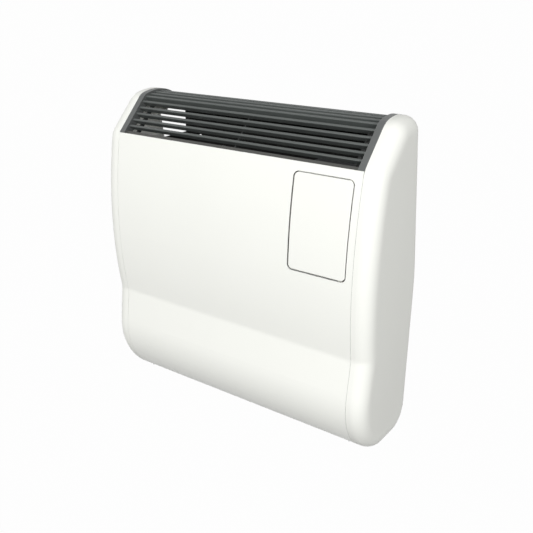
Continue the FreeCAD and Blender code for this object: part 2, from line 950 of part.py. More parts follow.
def knob(place, radius):
    """Skirted knob with a grip bar, on its own spindle."""
    back = place - ALONG_Y * knob_stand_off
    skirt = rod(radius, back, ALONG_Y * -1, knob_skirt)
    front_edges_of_skirt = [e for e in skirt.Edges if e.BoundBox.YMax < back.y - knob_skirt + run_fit]
    skirt = skirt.makeFillet(knob_grip_round, front_edges_of_skirt)
    half = knob_grip_width / 2
    front = back.y - knob_skirt - knob_grip
    bar = block(place.x - half, place.x + half, front, back.y - knob_skirt / 2,
                place.z - radius + knob_grip_round, place.z + radius - knob_grip_round)
    bar = bar.common(rod(radius - knob_grip_round, V(place.x, front, place.z), ALONG_Y, knob_grip + knob_skirt))
    bar_front = [e for e in bar.Edges if e.BoundBox.YMax < front + run_fit]
    bar = bar.makeFillet(knob_grip_round, bar_front)
    spindle = rod(spindle_radius, back, ALONG_Y, knob_stand_off + fascia_thickness + spindle_length)
    return joined(skirt, bar, spindle)


def control_switches():
    made = []
    for place in (temperature_place(), mode_place()):
        body = rod(switch_radius, place + ALONG_Y * fascia_thickness, ALONG_Y, switch_length)
        bore = rod(spindle_radius + run_fit, place + ALONG_Y * fascia_thickness, ALONG_Y, spindle_length + 1)
        made.append(body.cut(bore))
    return Part.makeCompound(made)


def reset_button():
    place = button_place()
    cap = rod(button_radius, place - ALONG_Y * button_proud, ALONG_Y, button_proud + fascia_thickness)
    rim = [e for e in cap.Edges if e.BoundBox.YMax < place.y - button_proud + run_fit]
    cap = cap.makeFillet(knob_grip_round / 2, rim)
    behind = place + ALONG_Y * fascia_thickness
    collar = rod(button_radius + button_collar, behind, ALONG_Y, button_collar)
    stem = rod(button_radius / 2, behind, ALONG_Y, button_stem)
    return joined(cap, collar, stem)


def reset_switch():
    """Microswitch on the board, just clear of the pressed button's stem."""
    place = button_place()
    front = fascia_back + button_stem + button_travel + bolt_fit
    return block(place.x - button_radius, place.x + button_radius, front, fascia_back + board_setback,
                 place.z - button_radius, place.z + button_radius)


def indicator_lens():
    place = lens_place()
    dome = Part.makeSphere(lens_radius, place)
    return dome.fuse(rod(lens_radius, place, ALONG_Y, fascia_thickness)).removeSplitter()


def control_board():
    left, right, bottom, top = fascia_zone()
    w = control_box_wall
    y = fascia_back + board_setback
    return block(left + 2 * w, right - w, y, y + board_thickness, bottom + 3 * w, top - 3 * w)


def board_components():
    """Transformer, relay and smoothing capacitor on the back of the board."""
    y = fascia_back + board_setback + board_thickness
    deep = control_box_depth - board_setback - board_thickness - 2 * control_box_wall
    half = transformer_width / 2
    low = door_z - transformer_drop - transformer_height / 2
    transformer = block(door_x - half, door_x + half, y, y + deep, low, low + transformer_height)
    x = door_x - relay_shift - relay_width / 2
    low = door_z + relay_rise - relay_height / 2
    relay = block(x, x + relay_width, y, y + deep * relay_share, low, low + relay_height)
    foot = V(door_x + capacitor_shift, y, door_z + capacitor_rise)
    capacitor = rod(capacitor_radius, foot, ALONG_Y, deep * capacitor_share)
    return Part.makeCompound([transformer, relay, capacitor])


# Heat exchanger
def exchanger_rim():
    w = flange_width
    return exchanger_left - w, exchanger_right + w, exchanger_bottom - w, exchanger_top + w


def ports(extra_burner, extra_outlet):
    """Burner port at the right and flue outlet at the left, both centred on the split."""
    burner = rod(burner_radius + extra_burner, V(exchanger_right - pan_wall, exchanger_plane_y, burner_z),
                 ALONG_X, pan_wall + port_boss_length)
    outlet = rod(outlet_radius + extra_outlet, V(volute_right, exchanger_plane_y, outlet_z),
                 ALONG_X, pan_wall + port_boss_length)
    return [burner, outlet]


def exchanger_room():
    deep = pan_depth + gasket / 2 - pan_wall
    return block(exchanger_left + pan_wall, exchanger_right - pan_wall,
                 exchanger_plane_y - deep, exchanger_plane_y + deep,
                 exchanger_bottom + pan_wall, exchanger_top - pan_wall)


def bolt_places():
    left, right, bottom, top = exchanger_rim()
    half = flange_width / 2
    middle = (exchanger_left + exchanger_right) / 2
    third = (exchanger_right - exchanger_left) / 3
    places = [(x, z) for x in (middle - third, middle, middle + third) for z in (bottom + half, top - half)]
    rise = (exchanger_top - exchanger_bottom) / 4
    places += [(x, exchanger_bottom + 2 * rise) for x in (left + half, right - half)]
    return places


def exchanger_half(side):
    """One casting: a pan with a flange round it, port bosses and upright fins; side is -1 at the front."""
    face = exchanger_plane_y + side * gasket / 2
    far = face + side * pan_depth
    tip = far + side * fin_height
    left, right, bottom, top = exchanger_rim()

    def slab(x0, x1, ya, yb, z0, z1):
        return block(x0, x1, min(ya, yb), max(ya, yb), z0, z1)

    pan = slab(exchanger_left, exchanger_right, face, far, exchanger_bottom, exchanger_top)
    flange = slab(left, right, face, face + side * flange_thickness, bottom, top)
    zone = slab(left - port_boss_length, right + port_boss_length, face, far, bottom, top)
    bosses = [b.common(zone) for b in ports(burner_port_wall, outlet_port_wall)]
    pieces = [flange] + bosses
    step = (exchanger_right - exchanger_left - 2 * fin_end_gap - fin_thickness) / (fin_count - 1)
    for k in range(fin_count):
        x = exchanger_left + fin_end_gap + k * step
        in_pad = side < 0 and x + fin_thickness > exchanger_right - pad_width
        low = pad_top() if in_pad else exchanger_bottom + pan_wall
        pieces.append(slab(x, x + fin_thickness, far - side * pan_wall / 2, tip, low, exchanger_top - pan_wall))
    if side < 0:
        pieces.append(slab(exchanger_right - pad_width, exchanger_right, far, far - pad_depth,
                           pad_top() - pad_height, pad_top()))
    cuts = [exchanger_room()] + ports(0, 0)
    for x, z in bolt_places():
        cuts.append(rod(exchanger_bolt_radius + bolt_fit, V(x, face, z), ALONG_Y * side, flange_thickness))
    if side < 0:
        cuts += pad_cuts()
    return joined(pan, *pieces).cut(Part.makeCompound(cuts))


def pad_top():
    return burner_z + pad_height / 2 + electrode_rise / 2


def pad_face():
    return exchanger_plane_y - gasket / 2 - pan_depth - pad_depth


def pad_middle():
    return exchanger_right - pad_width / 2


def electrode_places():
    return [V(pad_middle() + s * electrode_spread, pad_face(), burner_z + electrode_rise) for s in (-1, 1)]


def sight_place():
    return V(pad_middle(), pad_face(), burner_z - sight_drop)


def pad_cuts():
    cuts = [rod(electrode_radius, p, ALONG_Y, pan_wall + pad_depth) for p in electrode_places()]
    cuts.append(rod(sight_radius, sight_place(), ALONG_Y, sight_thickness))
    cuts.append(rod(sight_radius - pan_wall / 2, sight_place(), ALONG_Y, pan_wall + pad_depth))
    return cuts


def electrode(place, bend):
    """Ceramic body through the casting, with a wire that turns towards the burner."""
    length = electrode_proud + pad_depth + pan_wall
    body = rod(electrode_radius, place - ALONG_Y * electrode_proud, ALONG_Y, length)
    collar = rod(electrode_collar, place - ALONG_Y * pan_wall, ALONG_Y, pan_wall)
    tip = place + ALONG_Y * (pad_depth + pan_wall)
    inside = exchanger_plane_y - tip.y - burner_radius * bend
    wire = rod(electrode_wire, tip - ALONG_Y * length, ALONG_Y, length + inside)
    return joined(body, collar, wire)


def sight_glass():
    return rod(sight_radius, sight_place(), ALONG_Y, sight_thickness)


def exchanger_gasket():
    left, right, bottom, top = exchanger_rim()
    y0 = exchanger_plane_y - gasket / 2
    y1 = exchanger_plane_y + gasket / 2
    layer = block(left - port_boss_length, right + port_boss_length, y0, y1, bottom, top)
    ring = block(left, right, y0, y1, bottom, top)
    ears = [b.common(layer) for b in ports(burner_port_wall, outlet_port_wall)]
    cuts = [exchanger_room()] + ports(0, 0)
    for x, z in bolt_places():
        cuts.append(rod(exchanger_bolt_radius + bolt_fit, V(x, y0, z), ALONG_Y, gasket))
    return joined(ring, *ears).cut(Part.makeCompound(cuts))


def exchanger_bolts():
    made = []
    half = flange_thickness + gasket / 2
    for x, z in bolt_places():
        start = V(x, exchanger_plane_y - half, z)
        shank = rod(exchanger_bolt_radius, start, ALONG_Y, 2 * half)
        head_start = start - ALONG_Y * exchanger_bolt_head
        head = rod(exchanger_bolt_head_radius, head_start, ALONG_Y, exchanger_bolt_head)
        nut = rod(exchanger_bolt_head_radius, start + ALONG_Y * 2 * half, ALONG_Y, exchanger_bolt_head)
        made.append(joined(shank, head, nut))
    return Part.makeCompound(made)


def exchanger_posts():
    left, right, bottom, top = exchanger_rim()
    back = exchanger_plane_y + gasket / 2 + flange_thickness
    made = []
    for x in (left, right - post_width):
        for z in (bottom, top - post_width):
            made.append(block(x, x + post_width, back, -sheet, z, z + post_width))
    return Part.makeCompound(made)


def limit_thermostat():
    x = exchanger_left + (exchanger_right - exchanger_left) * 2 / 3
    y = exchanger_plane_y - flange_thickness - gasket - limit_radius
    can = rod(limit_radius, V(x, y, exchanger_top), ALONG_Z, limit_height)
    flat = limit_radius / 3
    tabs = [block(x + s - 1, x + s + 1, y - flat, y + flat, exchanger_top + limit_height,
                  exchanger_top + 2 * limit_height) for s in (-flat, flat)]
    return joined(can, *tabs)


# Burner, air box and gas train
def burner():
    start = V(exchanger_left + pan_wall + burner_end_gap, exchanger_plane_y, burner_z)
    length = burner_flange_x - start.x
    bore = burner_radius - burner_tube
    pipe = rod(burner_radius, start, ALONG_X, length)
    flange_start = V(burner_flange_x, start.y, burner_z)
    flange = rod(burner_radius + burner_port_wall, flange_start, ALONG_X, burner_flange)
    hollow = rod(bore, start + ALONG_X * burner_tube, ALONG_X, length + burner_flange)
    step = (exchanger_right - pan_wall - start.x) / (burner_slot_count + 1)
    slots = []
    for k in range(burner_slot_count):
        x = start.x + (k + 1) * step
        slots.append(block(x, x + burner_slot_width, start.y - bore / 2, start.y + bore / 2,
                           burner_z, burner_z + burner_radius))
    return joined(pipe, flange).cut(Part.makeCompound([hollow] + slots))


def air_box_zone():
    front = exchanger_plane_y - air_box_front
    half = air_box_height / 2
    return air_box_left, air_box_right, front, socket_back_y, burner_z - half, burner_z + half


def air_box():
    x0, x1, y0, y1, z0, z1 = air_box_zone()
    w = air_box_wall
    room = block(x0 + w, x1 - w, y0 + w, y1 - w, z0 + w, z1 - w)
    mouth = rod(burner_radius - burner_tube, V(x0, exchanger_plane_y, burner_z), ALONG_X, w)
    intake = rod(socket_radius - socket_wall, V(air_box_x, y1 - w, burner_z), ALONG_Y, w)
    jet = rod(injector_radius, V(x1 - w, exchanger_plane_y, burner_z), ALONG_X, w)
    return block(x0, x1, y0, y1, z0, z1).cut(Part.makeCompound([room, mouth, intake, jet]))


def burner_venturi():
    start = V(air_box_left + air_box_wall, exchanger_plane_y, burner_z)
    wide = burner_radius - burner_tube
    outer = Part.makeCone(wide + burner_tube, venturi_mouth + burner_tube, venturi_length, start, ALONG_X)
    return outer.cut(Part.makeCone(wide, venturi_mouth, venturi_length, start, ALONG_X))


def gas_injector():
    start = V(air_box_right - injector_length, exchanger_plane_y, burner_z)
    body = rod(injector_radius, start, ALONG_X, injector_length)
    return body.cut(rod(1, start, ALONG_X, injector_length))


def gas_burner_pipe():
    """Pipe up from the valve and round into the air box's injector."""
    reach = exchanger_plane_y
    start = V(gas_x, reach, valve_top_z)
    turn = V(gas_x, reach, burner_z - pipe_bend)
    inset = pipe_bend * (1 - math.sqrt(0.5))
    bend_middle = V(gas_x - inset, reach, burner_z - inset)
    after = V(gas_x - pipe_bend, reach, burner_z)
    stop = V(air_box_right, reach, burner_z)
    path = Part.Wire([line(start, turn), Part.Arc(turn, bend_middle, after).toShape(), line(after, stop)])

    def swept(radius):
        ring = Part.Wire([Part.makeCircle(radius, start, ALONG_Z)])
        return path.makePipeShell([ring], True, False)

    return swept(pipe_radius).cut(swept(pipe_bore))


def gas_valve():
    body = block(gas_x - valve_width / 2, gas_x + valve_width / 2,
                 gas_y - valve_deep / 2, gas_y + valve_deep / 2,
                 valve_bottom_z, valve_top_z)
    upright = [e for e in body.Edges if e.BoundBox.ZLength > valve_tall / 2]
    body = body.makeFillet(valve_corner_radius, upright)
    ways = rod(pipe_bore, V(gas_x, gas_y, valve_bottom_z), ALONG_Z, valve_tall)
    return body.cut(ways)


def valve_solenoids():
    y = gas_y - valve_deep / 2
    z = (valve_bottom_z + valve_top_z) / 2
    made = []
    for x in (gas_x - solenoid_spread, gas_x + solenoid_spread):
        coil = rod(solenoid_radius, V(x, y, z), ALONG_Y * -1, solenoid_length)
        cap = rod(solenoid_radius / 2, V(x, y - solenoid_length, z), ALONG_Y * -1, solenoid_length / 5)
        made.append(joined(coil, cap))
    return Part.makeCompound(made)


def valve_bracket():
    right = chassis_half - sheet
    edge = gas_x + valve_width / 2
    z = (valve_bottom_z + valve_top_z) / 2
    arm = block(edge, right, gas_y - valve_deep / 4, gas_y + valve_deep / 4, z, z + 2 * sheet)
    feet = [block(x, x + 2 * sheet, gas_y - valve_deep / 4, gas_y + valve_deep / 4, z, z + valve_tall / 3)
            for x in (edge, right - 2 * sheet)]
    return joined(arm, *feet)


def gas_inlet_union():
    end = V(gas_x, gas_y, union_end_z)
    nipple = rod(union_radius, end, ALONG_Z, union_length)
    corner = [end + V(union_hex * math.cos(a), union_hex * math.sin(a), union_length)
              for a in (k * math.pi / 3 for k in range(6))]
    hexagon = Part.Face(Part.makePolygon(corner + corner[:1])).extrude(ALONG_Z * union_hex_length)
    bore = rod(pipe_radius, end, ALONG_Z, union_length + union_hex_length)
    return joined(nipple, hexagon).cut(bore)


def gas_supply_pipe():
    start = V(gas_x, gas_y, union_end_z + union_length)
    return tube(pipe_radius, pipe_bore, start, ALONG_Z, valve_bottom_z - start.z)


# Flue and blower
def socket(x, z):
    """Short tube through the wall plate that the air or flue pipe pushes into."""
    outer = socket_radius + socket_wall
    pipe = rod(outer, V(x, -socket_length, z), ALONG_Y, socket_length)
    half = socket_flange / 2
    front = -socket_length - socket_flange_thickness
    flange = block(x - half, x + half, front, -socket_length, z - half, z + half)
    stop = rod(socket_radius - socket_wall, V(x, front, z), ALONG_Y, socket_flange_thickness)
    bore = rod(socket_radius, V(x, -socket_length, z), ALONG_Y, socket_length)
    return joined(pipe, flange).cut(stop).cut(bore)


def socket_gaskets():
    made = []
    half = socket_flange / 2
    y0 = socket_back_y
    for x, z in ((volute_x, flue_z), (air_box_x, burner_z)):
        pad = block(x - half, x + half, y0, y0 + socket_gasket, z - half, z + half)
        made.append(pad.cut(rod(socket_radius - socket_wall, V(x, y0, z), ALONG_Y, socket_gasket)))
    return Part.makeCompound(made)


def blower_housing():
    centre = V(0, exchanger_plane_y, outlet_z)
    w = volute_wall
    left = V(volute_left, centre.y, outlet_z)
    inner_left = V(volute_left + w, centre.y, outlet_z)
    drum = rod(volute_radius, left, ALONG_X, volute_width)
    low = outlet_z - volute_radius
    duct = block(volute_left, volute_right, centre.y, socket_back_y, low, low + volute_throat)
    room = rod(volute_radius - w, inner_left, ALONG_X, volute_width - 2 * w)
    throat = block(volute_left + w, volute_right - w, centre.y, socket_back_y, low + w, low + volute_throat - w)
    eye = rod(outlet_radius, V(volute_right - w, centre.y, outlet_z), ALONG_X, w)
    back = rod(blower_hub + 2 * w, left, ALONG_X, w)
    return joined(drum, duct).cut(Part.makeCompound([room, throat, eye, back]))


def blower_impeller():
    y = exchanger_plane_y
    back = volute_left + 2 * volute_wall
    disc = rod(blower_radius, V(back, y, outlet_z), ALONG_X, blower_blade)
    hub = rod(blower_hub, V(back, y, outlet_z), ALONG_X, blower_width)
    shaft_start = volute_left - blower_shaft_inside
    shaft = rod(shaft_radius, V(shaft_start, y, outlet_z), ALONG_X, back - shaft_start + blower_width)
    blade = block(back, back + blower_width, y - blower_blade / 2, y + blower_blade / 2,
                  outlet_z + blower_eye, outlet_z + blower_radius)
    blade.rotate(V(0, y, outlet_z + blower_eye), ALONG_X, blower_blade_lean)
    blade = blade.common(rod(blower_radius, V(back, y, outlet_z), ALONG_X, blower_width))
    blades = []
    for k in range(blower_blades):
        copy = blade.copy()
        copy.rotate(V(0, y, outlet_z), ALONG_X, k * 360 / blower_blades)
        blades.append(copy)
    return joined(disc, hub, shaft, *blades)


def blower_motor():
    start = V(volute_left - blower_motor_length, exchanger_plane_y, outlet_z)
    can = rod(blower_motor_radius, start, ALONG_X, blower_motor_length)
    rim = [e for e in can.Edges if e.BoundBox.XMax < start.x + run_fit]
    can = can.makeFillet(volute_wall, rim)
    bore_length = blower_motor_bore
    bore = rod(shaft_radius + run_fit, V(volute_left - bore_length, start.y, outlet_z), ALONG_X, bore_length)
    return can.cut(bore)


# Convection fan
def fan_axis(x):
    return V(x, fan_y, fan_z)


def fan_impeller():
    middle = (fan_left + fan_right) / 2
    discs = [rod(fan_radius, fan_axis(x), ALONG_X, fan_disc)
             for x in (fan_left, middle - fan_disc / 2, fan_right - fan_disc)]
    outer = fan_radius - fan_blade
    centre = V(0, fan_y - outer + fan_blade_depth / 2, fan_z - fan_blade_radius + fan_blade)
    half = math.degrees(math.asin(fan_blade_depth / 2 / fan_blade_radius))
    inner = fan_blade_radius - fan_blade
    blade = sector(centre, fan_blade_radius, inner, 90 - half, 90 + half, fan_left, fan_right)
    blades = []
    for k in range(fan_blades):
        copy = blade.copy()
        copy.rotate(fan_axis(0), ALONG_X, k * 360 / fan_blades)
        blades.append(copy)
    shaft_start = fan_left - scroll_side_gap - sheet - fan_shaft_inside
    shaft_stop = fan_right + scroll_side_gap + sheet + bush_length
    stubs = [rod(shaft_radius, fan_axis(shaft_start), ALONG_X, fan_left - shaft_start + fan_disc),
             rod(shaft_radius, fan_axis(fan_right - fan_disc), ALONG_X, shaft_stop - fan_right + fan_disc)]
    return joined(discs[0], *(discs[1:] + stubs + blades))


def fan_sides():
    left = fan_left - scroll_side_gap - sheet
    right = fan_right + scroll_side_gap
    return left, right


def fan_scroll():
    """Curved guide behind the rotor and a short tongue before it, between two side plates."""
    left, right = fan_sides()
    centre = fan_axis(0)
    inner = fan_radius + scroll_gap
    outer = inner + sheet
    guide = sector(centre, outer, inner, scroll_guide_start, scroll_guide_stop, left, right + sheet)
    back = block(left, right + sheet, fan_y + inner, fan_y + outer, fan_z, scroll_top_z)
    tongue = sector(centre, outer, inner, scroll_tongue_lean, scroll_tongue_lean + scroll_tongue_span,
                    left, right + sheet)
    sides = []
    for x in (left, right):
        plate = block(x, x + sheet, fan_y - scroll_side_front, -sheet, fan_z - scroll_side_bottom, scroll_top_z)
        sides.append(plate.cut(rod(fan_side_hole, fan_axis(x), ALONG_X, sheet)))
    return joined(guide, back, tongue, *sides)


def fan_motor():
    left, right = fan_sides()
    can = rod(fan_motor_radius, fan_axis(left - fan_motor_length), ALONG_X, fan_motor_length)
    rim = [e for e in can.Edges if e.BoundBox.XMax < left - fan_motor_length + run_fit]
    can = can.makeFillet(volute_wall, rim)
    bore_length = fan_motor_bore
    return can.cut(rod(shaft_radius + run_fit, fan_axis(left - bore_length), ALONG_X, bore_length))


def fan_bush():
    left, right = fan_sides()
    return tube(bush_radius, shaft_radius + run_fit, fan_axis(right + sheet), ALONG_X, bush_length)


# Wiring inlet and room sensor
def cable_gland():
    floor = V(gland_x, gland_y, chassis_bottom_z)
    nut = rod(gland_radius, floor - ALONG_Z * gland_nut, ALONG_Z, gland_nut)
    thread = rod(gland_thread, floor, ALONG_Z, sheet + gland_nut)
    ring = rod(gland_radius, floor + ALONG_Z * sheet, ALONG_Z, gland_nut / 2)
    bore = rod(gland_bore, floor - ALONG_Z * gland_nut, ALONG_Z, 2 * gland_nut + sheet)
    return joined(nut, thread, ring).cut(bore)


def terminal_block():
    x1 = terminal_x + terminal_width
    body = block(terminal_x, x1, -sheet - terminal_deep, -sheet, terminal_z - terminal_tall, terminal_z)
    ways = []
    count = 5
    for k in range(count):
        x = terminal_x + (k + 0.5) * terminal_width / count
        start = V(x, -sheet - terminal_deep, terminal_z - terminal_tall / 2)
        ways.append(rod(terminal_width / count / 4, start,
                        ALONG_Y, terminal_deep / 2))
    return body.cut(Part.makeCompound(ways))


def room_sensor():
    right = chassis_half - sheet
    clip = block(right - sensor_block, right, sensor_y, sensor_y + sensor_block,
                 sensor_z, sensor_z + sensor_block)
    middle = sensor_z + sensor_block / 2
    bulb_start = V(right - sensor_block / 2, sensor_y + sensor_block, middle)
    bulb = rod(sensor_bulb, bulb_start, ALONG_Y, sensor_bulb_length)
    return joined(clip, bulb)


# The assembly, in the order it goes together
def assembly():
    right_side = chassis_side()
    right_end = right_end_panel()
    cheek = right_cheek()
    first_electrode, second_electrode = electrode_places()
    return {
        "back_plate": back_plate(),
        "chassis_left_side": mirrored(right_side),
        "chassis_right_side": right_side,
        "flue_socket": socket(volute_x, flue_z),
        "air_socket": socket(air_box_x, burner_z),
        "socket_gaskets": socket_gaskets(),
        "exchanger_posts": exchanger_posts(),
        "exchanger_rear_casting": exchanger_half(1),
        "exchanger_gasket": exchanger_gasket(),
        "exchanger_front_casting": exchanger_half(-1),
        "exchanger_bolts": exchanger_bolts(),
        "limit_thermostat": limit_thermostat(),
        "burner": burner(),
        "burner_venturi": burner_venturi(),
        "air_box": air_box(),
        "gas_injector": gas_injector(),
        "ignition_electrode": electrode(first_electrode, ignition_bend),
        "flame_electrode": electrode(second_electrode, flame_bend),
        "sight_glass": sight_glass(),
        "blower_housing": blower_housing(),
        "blower_impeller": blower_impeller(),
        "blower_motor": blower_motor(),
        "gas_valve": gas_valve(),
        "valve_solenoids": valve_solenoids(),
        "valve_bracket": valve_bracket(),
        "gas_supply_pipe": gas_supply_pipe(),
        "gas_burner_pipe": gas_burner_pipe(),
        "gas_inlet_union": gas_inlet_union(),
        "fan_scroll": fan_scroll(),
        "fan_impeller": fan_impeller(),
        "fan_motor": fan_motor(),
        "fan_bush": fan_bush(),
        "cable_gland": cable_gland(),
        "terminal_block": terminal_block(),
        "room_sensor": room_sensor(),
        "control_box": control_box(),
        "control_board": control_board(),
        "board_components": board_components(),
        "control_switches": control_switches(),
        "reset_switch": reset_switch(),
        "control_fascia": control_fascia(),
        "temperature_knob": knob(temperature_place(), temperature_knob_radius),
        "mode_knob": knob(mode_place(), mode_knob_radius),
        "reset_button": reset_button(),
        "indicator_lens": indicator_lens(),
        "inlet_guard": inlet_guard(),
        "front_panel": front_panel(),
        "left_end_panel": mirrored(right_end),
        "right_end_panel": right_end,
        "casing_screws": casing_screws(),
        "grille_lower_rail": lower_rail(),
        "grille_rear_rail": rear_rail(),
        "grille_ribs": ribs(),
        "grille_louvres": Part.makeCompound(slats()),
        "grille_left_cheek": mirrored(cheek),
        "grille_right_cheek": cheek,
        "door_hinge_brackets": hinge_brackets(),
        "door_hinge_pins": hinge_pins(),
        "door_catch": door_catch(),
        "control_door": Part.makeCompound([control_door(), door_strike()]),
    }


os.makedirs("parts", exist_ok=True)
for name, shape in assembly().items():
    shape.exportStep("parts/" + name + ".step")
    print(name, len(shape.Solids), round(shape.Volume), shape.isValid())
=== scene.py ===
import bpy
import bmesh
import math
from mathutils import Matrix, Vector


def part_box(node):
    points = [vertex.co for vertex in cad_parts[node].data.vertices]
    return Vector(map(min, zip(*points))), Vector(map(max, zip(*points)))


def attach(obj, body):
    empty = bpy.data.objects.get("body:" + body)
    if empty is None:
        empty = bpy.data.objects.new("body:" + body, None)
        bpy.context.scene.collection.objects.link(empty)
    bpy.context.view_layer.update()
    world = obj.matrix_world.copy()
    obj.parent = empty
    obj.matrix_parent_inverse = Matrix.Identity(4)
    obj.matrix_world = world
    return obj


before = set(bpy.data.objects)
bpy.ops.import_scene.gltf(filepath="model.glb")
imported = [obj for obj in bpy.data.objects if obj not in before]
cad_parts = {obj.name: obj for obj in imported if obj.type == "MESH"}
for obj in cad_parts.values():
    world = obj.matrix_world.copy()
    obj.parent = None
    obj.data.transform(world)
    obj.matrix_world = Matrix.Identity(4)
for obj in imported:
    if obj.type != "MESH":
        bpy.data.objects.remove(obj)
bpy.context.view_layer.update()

# Back plate and chassis sides
# Folded from galvanised sheet steel, pierced for the wall fixings, and joined into a tray.
# The zinc shows its crystals as a patchwork of greys; the faces turned into the casing are painted near black
# as painted shade, for the dark inside seen through the grille.
zinc_light = (0.60, 0.61, 0.62)
zinc_dark = (0.47, 0.48, 0.50)
spangle_scale = 95.0
spangle_rough = (0.30, 0.52)
spangle_height = 0.00006
grain_detail = 2.0
patch_detail = 4.0
wear_starts = 0.98
wear_is_full = 0.75
faces_that_way = 0.7


def group(name, inputs, outputs):
    """Empty shader group with its float sockets, and its input and output nodes."""
    made = bpy.data.node_groups.new(name, "ShaderNodeTree")
    for label, start in inputs.items():
        socket = made.interface.new_socket(label, in_out="INPUT", socket_type="NodeSocketFloat")
        socket.default_value = start
    for label in outputs:
        made.interface.new_socket(label, in_out="OUTPUT", socket_type="NodeSocketFloat")
    return made, made.nodes.new("NodeGroupInput"), made.nodes.new("NodeGroupOutput")


def add(tree, kind, **values):
    """Node of a kind, with its settings, and its sockets by name."""
    node = tree.nodes.new(kind)
    for key, value in values.items():
        if key in node.inputs:
            node.inputs[key].default_value = value
        else:
            setattr(node, key, value)
    return node


def spread(tree, source, low, high, start=0.3, stop=0.7):
    """Value of a mask mapped to a range."""
    node = add(tree, "ShaderNodeMapRange")
    node.inputs["From Min"].default_value = start
    node.inputs["From Max"].default_value = stop
    node.inputs["To Min"].default_value = low
    node.inputs["To Max"].default_value = high
    tree.links.new(source, node.inputs["Value"])
    return node.outputs["Result"]


def blended(tree, mask, first, second):
    """Colour between two by a mask; each is a colour or a socket."""
    node = add(tree, "ShaderNodeMix", data_type="RGBA")
    share, first_colour, second_colour = [socket for socket in node.inputs if socket.enabled]
    tree.links.new(mask, share)
    for socket, colour in ((first_colour, first), (second_colour, second)):
        if hasattr(colour, "node"):
            tree.links.new(colour, socket)
        else:
            socket.default_value = (*colour, 1)
    return next(socket for socket in node.outputs if socket.enabled)


def blank(name, shader):
    """New material with its Principled BSDF; shader gives the sockets that are the same all over."""
    made = bpy.data.materials.new(name)
    made.use_nodes = True
    bsdf = made.node_tree.nodes["Principled BSDF"]
    for key, value in shader.items():
        bsdf.inputs[key].default_value = value
    return made, made.node_tree, bsdf


def relief(tree, bsdf, source, height):
    """Surface relief of a height, in metres, on the shader's normal."""
    bump = add(tree, "ShaderNodeBump", Strength=1.0, Distance=height)
    tree.links.new(source, bump.inputs["Height"])
    tree.links.new(bump.outputs["Normal"], bsdf.inputs["Normal"])


def dress(material, *names):
    """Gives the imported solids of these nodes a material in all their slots."""
    for name in names:
        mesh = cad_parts[name].data
        mesh.materials.clear()
        mesh.materials.append(material)
        for face in mesh.polygons:
            face.material_index = 0


# Grain, tone and wear shared by the finishes below: a fine height, a slow change of tone,
# and a mask that is one along worn edges.
surface_group, entry, out = group(
    "surface_variation",
    {"Grain Scale": 900.0, "Patch Scale": 9.0, "Edge Width": 0.0012},
    ("Grain", "Patch", "Edge"),
)
place = add(surface_group, "ShaderNodeTexCoord")
for label, detail in (("Grain", grain_detail), ("Patch", patch_detail)):
    field = add(surface_group, "ShaderNodeTexNoise", Detail=detail)
    surface_group.links.new(place.outputs["Object"], field.inputs["Vector"])
    surface_group.links.new(entry.outputs[label + " Scale"], field.inputs["Scale"])
    surface_group.links.new(field.outputs["Fac"], out.inputs[label])
rounded = add(surface_group, "ShaderNodeBevel")
surface_group.links.new(entry.outputs["Edge Width"], rounded.inputs["Radius"])
true_face = add(surface_group, "ShaderNodeNewGeometry")
facing = add(surface_group, "ShaderNodeVectorMath", operation="DOT_PRODUCT")
surface_group.links.new(rounded.outputs["Normal"], facing.inputs[0])
surface_group.links.new(true_face.outputs["Normal"], facing.inputs[1])
wear = spread(surface_group, facing.outputs["Value"], 0, 1, wear_starts, wear_is_full)
surface_group.links.new(wear, out.inputs["Edge"])


def variation(tree, grain, patch, edge=0.0012):
    """The shared group placed in a material with its own values."""
    node = add(tree, "ShaderNodeGroup", node_tree=surface_group)
    node.inputs["Grain Scale"].default_value = grain
    node.inputs["Patch Scale"].default_value = patch
    node.inputs["Edge Width"].default_value = edge
    return node.outputs


def surfaced(name, dark, light, grain, patch, rough=None, height=None, worn=None, edge=0.0012,
             tone="Patch", sheen="Grain", shader=()):
    """Finish that wanders between two colours, with its roughness, relief and worn edges."""
    made, tree, bsdf = blank(name, dict(shader))
    look = variation(tree, grain, patch, edge)
    colour = blended(tree, look[tone], dark, light)
    if worn:
        colour = blended(tree, look["Edge"], colour, worn)
    tree.links.new(colour, bsdf.inputs["Base Color"])
    if rough:
        tree.links.new(spread(tree, look[sheen], *rough), bsdf.inputs["Roughness"])
    if height:
        relief(tree, bsdf, look["Grain"], height)
    return made


galvanised, tree, bsdf = blank("galvanised_sheet", {"Metallic": 0.9})
spangle = add(tree, "ShaderNodeTexVoronoi", Scale=spangle_scale)
place = add(tree, "ShaderNodeTexCoord")
tree.links.new(place.outputs["Object"], spangle.inputs["Vector"])
crystal = add(tree, "ShaderNodeSeparateColor")
tree.links.new(spangle.outputs["Color"], crystal.inputs["Color"])
tree.links.new(blended(tree, crystal.outputs["Red"], zinc_dark, zinc_light), bsdf.inputs["Base Color"])
tree.links.new(spread(tree, crystal.outputs["Green"], *spangle_rough, 0, 1), bsdf.inputs["Roughness"])
relief(tree, bsdf, variation(tree, grain=700, patch=12)["Grain"], spangle_height)
dress(galvanised, "back_plate", "chassis_left_side", "chassis_right_side")

# Near-black painted shade for the tray's inward faces, where the inside lies in shade behind the grille.
inside_painted_shade = surfaced(
    "inside_painted_shade", dark=(0.010, 0.010, 0.010), light=(0.022, 0.021, 0.020),
    grain=520, patch=16, rough=(0.72, 0.92), height=0.00020, shader={"Specular IOR Level": 0.25},
)


def second_coat(material, node, covers):
    """A second finish on the faces of a node for which covers says true, given the place and normal."""
    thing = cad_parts[node]
    thing.data.materials.append(material)
    for face in thing.data.polygons:
        if covers(thing.matrix_world @ face.center, face.normal):
            face.material_index = 1
